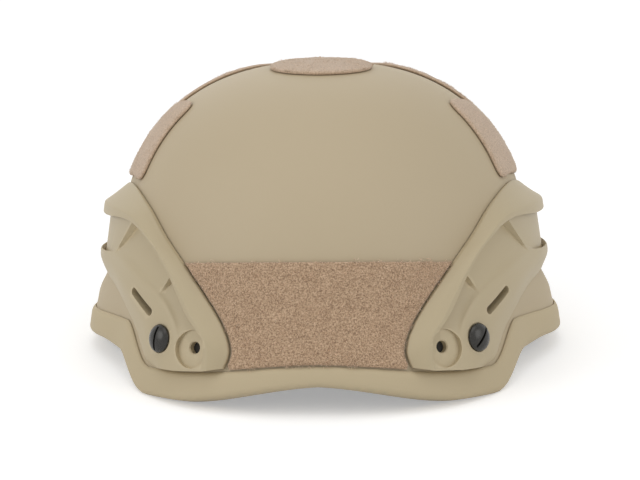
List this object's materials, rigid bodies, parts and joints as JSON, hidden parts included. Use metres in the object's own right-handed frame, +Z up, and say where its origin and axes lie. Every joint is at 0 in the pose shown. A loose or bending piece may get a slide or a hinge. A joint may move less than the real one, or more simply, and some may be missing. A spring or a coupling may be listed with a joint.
{
  "type": "combat helmet",
  "caption": "Mid-cut ballistic helmet with side rails, hook-and-loop patches, rim trim, front mount plate, comfort pads and a chin harness, standing on its rim.",
  "frame": {"origin": "middle of the bounding box on the surface that the rim stands on", "axes": "-Y is the front (brow), +Y the nape, +X the wearer's left, +Z up"},
  "size_m": [0.253, 0.2808, 0.155],
  "materials": {
    "shell_paint": "matt sand paint with a fine grain",
    "trim": "matt sand elastomer",
    "rail_polymer": "satin moulded glass-filled nylon",
    "bolt_black": "semi-gloss black oxide",
    "nut_steel": "zinc",
    "tab_black": "satin black",
    "mount_metal": "satin sand",
    "loop_tape": "brushed loop pile",
    "hook_tape": "hook tape",
    "pad_cloth": "wicking knit",
    "webbing": "woven nylon",
    "buckle_polymer": "moulded acetal",
    "cup_cloth": "padded chin cup"
  },
  "bodies": {
    "helmet": {"shell": "shell_paint", "edge_trim": "trim", "rail_left": "rail_polymer", "rail_right": "rail_polymer", "rail_bolts": "bolt_black", "bolt_nuts": "nut_steel", "strap_tabs": "tab_black", "shroud": "mount_metal", "shroud_screws": "bolt_black", "shroud_nuts": "nut_steel", "patch_crown": "loop_tape", "patch_front_left": "loop_tape", "patch_front_right": "loop_tape", "patch_side_left": "loop_tape", "patch_side_right": "loop_tape", "patch_rear": "loop_tape", "pad_front": "pad_cloth", "pad_rear": "pad_cloth", "pad_crown": "pad_cloth", "pads_side_left": "pad_cloth", "pads_side_right": "pad_cloth", "pad_discs": "hook_tape", "side_strap_left": "webbing", "side_strap_right": "webbing", "sleeves": "buckle_polymer", "buckle_strap": "webbing", "chin_strap": "webbing", "buckle_socket": "buckle_polymer", "chin_cup": "cup_cloth", "nape_strap": "webbing"},
    "buckle_half": {"buckle_prongs": "buckle_polymer"},
    "adjuster": {"strap_adjuster": "buckle_polymer"},
    "nape_cushion": {"nape_pad": "pad_cloth"}
  },
  "joints": [
    {"name": "buckle_release", "type": "slide", "parent": "helmet", "child": "buckle_half", "axis": [-0.4775, -0.857, 0.1938], "range_m": [0, 0.018]},
    {"name": "adjuster_slide", "type": "slide", "parent": "helmet", "child": "adjuster", "axis": [0.4775, -0.857, 0.1938], "range_m": [-0.012, 0.012]},
    {"name": "nape_pad_slide", "type": "slide", "parent": "helmet", "child": "nape_cushion", "axis": [1, 0, 0], "range_m": [-0.006, 0.006]}
  ]
}
